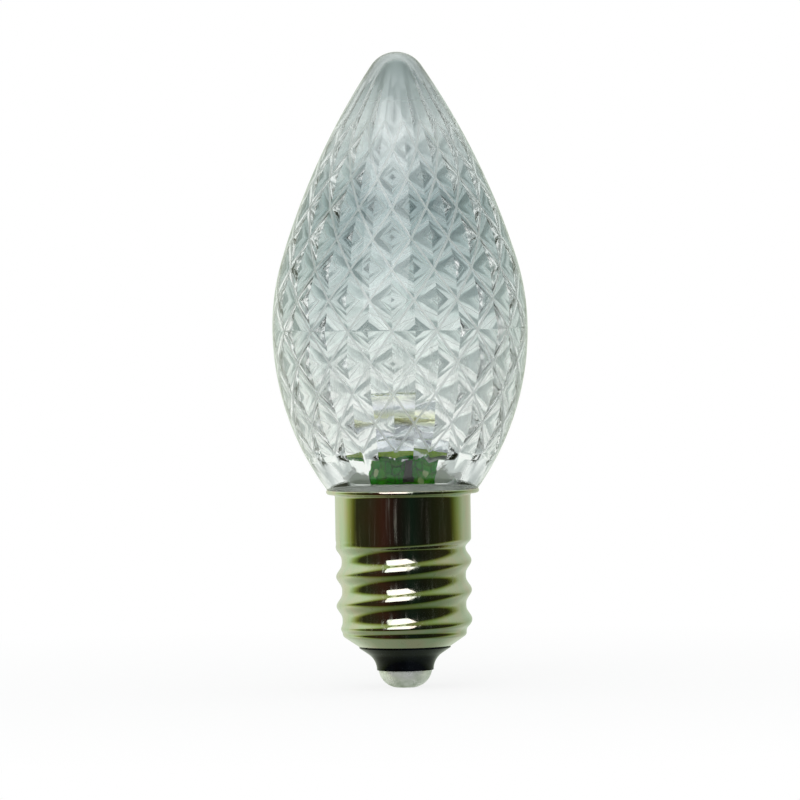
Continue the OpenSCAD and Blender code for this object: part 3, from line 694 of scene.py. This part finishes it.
def world_light():
    """White for the camera, a plain level for light, a pale rear and dark front for gloss, and
    a ring of pale panels with greyer gaps for what is seen through the glass."""
    world = bpy.data.worlds.new("studio")
    bpy.context.scene.world = world
    world.use_nodes = True
    tree = world.node_tree
    tree.nodes.clear()
    out = add_node(tree, "ShaderNodeOutputWorld")
    back = add_node(tree, "ShaderNodeBackground")
    tree.links.new(back.outputs["Background"], out.inputs["Surface"])
    path = add_node(tree, "ShaderNodeLightPath")
    place = add_node(tree, "ShaderNodeTexCoord")
    split = add_node(tree, "ShaderNodeSeparateXYZ")
    tree.links.new(place.outputs["Generated"], split.inputs["Vector"])
    x, y, z = (split.outputs[axis] for axis in "XYZ")
    steep = math_node(tree, "ABSOLUTE", z)
    # Gloss: dark in front and near level, olive where it ends, pale at the sides, above and below
    front = math_node(tree, "MULTIPLY_ADD", math_node(tree, "MULTIPLY_ADD", steep, 0.68, y), 0.4, 0.4)
    side = colour_ramp(tree, front, [
        (0.0, (0.006, 0.005, 0.004)), (0.41, (0.018, 0.015, 0.007)), (0.46, (0.10, 0.12, 0.015)),
        (0.54, (0.33, 0.41, 0.13)), (0.64, (0.64, 0.74, 0.52)), (1.0, (0.80, 0.86, 0.77))])
    below = colour_ramp(tree, math_node(tree, "MULTIPLY_ADD", z, 0.5, 0.5), [
        (0.0, (0.30, 0.32, 0.28)), (0.12, (0.42, 0.45, 0.38)), (0.30, (1.0, 1.0, 1.0)), (1.0, (1.0, 1.0, 1.0))])
    side = mix_colour(tree, 1.0, side, below, "MULTIPLY")
    right = colour_ramp(tree, math_node(tree, "MULTIPLY_ADD", x, 0.5, 0.5), [
        (0.0, (1.0, 1.0, 1.0)), (0.45, (0.92, 0.92, 0.92)), (0.85, (0.62, 0.63, 0.62)), (1.0, (0.6, 0.6, 0.6))])
    side = mix_colour(tree, 1.0, side, right, "MULTIPLY")
    # A reddish room on the left and a greenish one on the right tinge the dark front
    room = colour_ramp(tree, math_node(tree, "MULTIPLY_ADD", x, 0.5, 0.5), [
        (0.0, (0.010, 0.014, 0.004)), (0.22, (0.030, 0.008, 0.005)), (0.42, (0.004, 0.002, 0.002)),
        (0.62, (0.0, 0.010, 0.006)), (0.8, (0.002, 0.004, 0.002)), (1.0, (0.012, 0.014, 0.004))])
    side = mix_colour(tree, 1.0, side, room, "ADD")
    # Through the glass: a ring of pale panels near level, an even pale grey above and below
    azimuth = math_node(tree, "ARCTAN2", x, y)
    panels = math_node(tree, "COSINE", math_node(tree, "MULTIPLY", azimuth, float(PANELS)))
    groups = math_node(tree, "COSINE", math_node(tree, "MULTIPLY_ADD", azimuth, 3.0, 1.0))
    panels = math_node(tree, "MULTIPLY", math_node(tree, "MULTIPLY_ADD", panels, 0.5, 0.5),
                       math_node(tree, "MULTIPLY_ADD", groups, 0.25, 0.75))
    ring = colour_ramp(tree, panels, [
        (0.0, (0.36, 0.40, 0.405)), (0.35, (0.50, 0.54, 0.54)), (0.55, (0.95, 0.99, 0.98)),
        (0.8, (1.0, 1.0, 1.0))])
    away = colour_ramp(tree, steep, [
        (0.0, (0.0, 0.0, 0.0)), (0.30, (0.0, 0.0, 0.0)), (0.62, (1.0, 1.0, 1.0)), (1.0, (1.0, 1.0, 1.0))])
    through = mix_colour(tree, away, ring, (0.97, 1.0, 0.985, 1))
    colour = mix_colour(tree, path.outputs["Is Glossy Ray"], (0.75, 0.78, 0.78, 1), side)
    colour = mix_colour(tree, path.outputs["Is Transmission Ray"], colour, through)
    colour = mix_colour(tree, path.outputs["Is Camera Ray"], colour, (1, 1, 1, 1))
    tree.links.new(colour, back.inputs["Color"])
    back.inputs["Strength"].default_value = 1.0


def floor():
    """Plain pale floor under the bulb."""
    half = 1.5
    mesh = bpy.data.meshes.new("floor")
    mesh.from_pydata([(-half, -half, 0), (half, -half, 0), (half, half, 0), (-half, half, 0)], [], [(0, 1, 2, 3)])
    obj = bpy.data.objects.new("floor", mesh)
    bpy.context.scene.collection.objects.link(obj)
    material, tree, shader = new_material("floor_paper")
    shader.inputs["Base Color"].default_value = (0.85, 0.85, 0.85, 1)
    shader.inputs["Roughness"].default_value = 0.9
    shader.inputs["Specular IOR Level"].default_value = 0.1
    glow = add_node(tree, "ShaderNodeEmission")
    clear = add_node(tree, "ShaderNodeBsdfTransparent")
    lit = add_node(tree, "ShaderNodeMixShader")
    seen = add_node(tree, "ShaderNodeMixShader")
    path = add_node(tree, "ShaderNodeLightPath")
    place = add_node(tree, "ShaderNodeTexCoord")
    distance = add_node(tree, "ShaderNodeVectorMath", operation="LENGTH")
    tree.links.new(place.outputs["Object"], distance.inputs[0])
    # The paper turns to plain white away from the bulb, so that no horizon shows
    near = math_node(tree, "MULTIPLY_ADD", distance.outputs["Value"], 0.18 / FLOOR_FADE, 0.82)
    share = math_node(tree, "MULTIPLY", path.outputs["Is Camera Ray"], math_node(tree, "MINIMUM", near, 1.0))
    gloss = math_node(tree, "MAXIMUM", path.outputs["Is Glossy Ray"], path.outputs["Is Transmission Ray"])
    tree.links.new(share, lit.inputs["Fac"])
    tree.links.new(shader.outputs["BSDF"], lit.inputs[1])
    tree.links.new(glow.outputs["Emission"], lit.inputs[2])
    tree.links.new(gloss, seen.inputs["Fac"])
    tree.links.new(lit.outputs["Shader"], seen.inputs[1])
    tree.links.new(clear.outputs["BSDF"], seen.inputs[2])
    tree.links.new(seen.outputs["Shader"], tree.nodes["Material Output"].inputs["Surface"])
    mesh.materials.append(material)


def softbox(name, azimuth, elevation, distance, size, power, colour=(1, 1, 1)):
    """Area light that looks at the middle of the bulb; azimuth 0 is the camera's side, + to its right."""
    light = bpy.data.lights.new(name, "AREA")
    light.shape = "RECTANGLE"
    light.size, light.size_y = size
    light.energy = power
    light.color = colour
    obj = bpy.data.objects.new(name, light)
    a, e = math.radians(azimuth), math.radians(elevation)
    aim = Vector((0, 0, VIEW_Z))
    way = Vector((math.sin(a) * math.cos(e), -math.cos(a) * math.cos(e), math.sin(e)))
    obj.location = aim + distance * way
    obj.rotation_euler = way.to_track_quat("Z", "Y").to_euler()
    bpy.context.scene.collection.objects.link(obj)
    return obj


def camera():
    data = bpy.data.cameras.new("camera")
    data.sensor_width = SENSOR
    data.lens = SENSOR * DISTANCE / FRAME_W
    data.clip_start = 0.01
    data.clip_end = 20
    obj = bpy.data.objects.new("camera", data)
    aim = Vector((VIEW_X, 0, VIEW_Z))
    way = Vector((0, -math.cos(ELEVATION), math.sin(ELEVATION)))
    obj.location = aim + DISTANCE * way
    turn = way.to_track_quat("Z", "Y").to_matrix() @ Matrix.Rotation(ROLL, 3, "Z")
    obj.rotation_euler = turn.to_euler()
    bpy.context.scene.collection.objects.link(obj)
    bpy.context.scene.camera = obj


def settings():
    scene = bpy.context.scene
    scene.view_settings.view_transform = "Standard"
    scene.cycles.max_bounces = 20
    scene.cycles.transmission_bounces = 18
    scene.cycles.glossy_bounces = 8
    scene.cycles.diffuse_bounces = 3
    scene.cycles.transparent_max_bounces = 8
    scene.cycles.use_denoising = True
    scene.cycles.sample_clamp_indirect = 6.0


camera()
settings()
world_light()
floor()
softbox("key_softbox", -14, 37, 0.5, (0.38, 0.50), 1.0)

lens_materials = [lens_material(), ridge_material(), weld_material(), outer_material(), skirt_material()]
lens_half("lens_upper", True, lens_materials)
lens_half("lens_lower", False, lens_materials)
shell_piece(nickel_material())

solder = metal_material("solder", (0.75, 0.75, 0.77), 0.35, 1600.0, 0.2)
lead = metal_material("tinned_lead", (0.78, 0.78, 0.79), 0.2, 2200.0, 0.1)
round_green = board_material("round_board_mask", (0.20, 0.36, 0.0), (0.14, 0.28, 0.0), (0.42, 0.50, 0.02))
upright_green = board_material("upright_board_mask", (0.0, 0.36, 0.0), (0.0, 0.16, 0.0), (0.20, 0.56, 0.0))
chip_black = plain_material("chip_black", (0.02, 0.02, 0.022), 0.5)
ceramic = plain_material("capacitor_ceramic", (0.5, 0.36, 0.2), 0.5, 1100.0)
yellow = plain_material("phosphor", (0.85, 0.80, 0.15), 0.7, 2600.0, 0.3)
epoxy = epoxy_material()
dress(["insulator"], insulator_material())
dress(["tip_contact"], contact_material())
dress(["board_solder"], solder)
dress(["led_board"], round_green)
dress(["driver_board"], upright_green)
dress(["bridge_rectifier", "resistor_1", "resistor_2"], chip_black)
dress(["capacitor"], ceramic)
dress(["bridge_pins", "contact_lead", "shell_lead"], lead)
for n in (1, 2, 3):
    dress([f"led_{n}"], epoxy)
    dress([f"led_{n}_cathode", f"led_{n}_anode"], lead)
    dress([f"led_{n}_phosphor"], yellow)
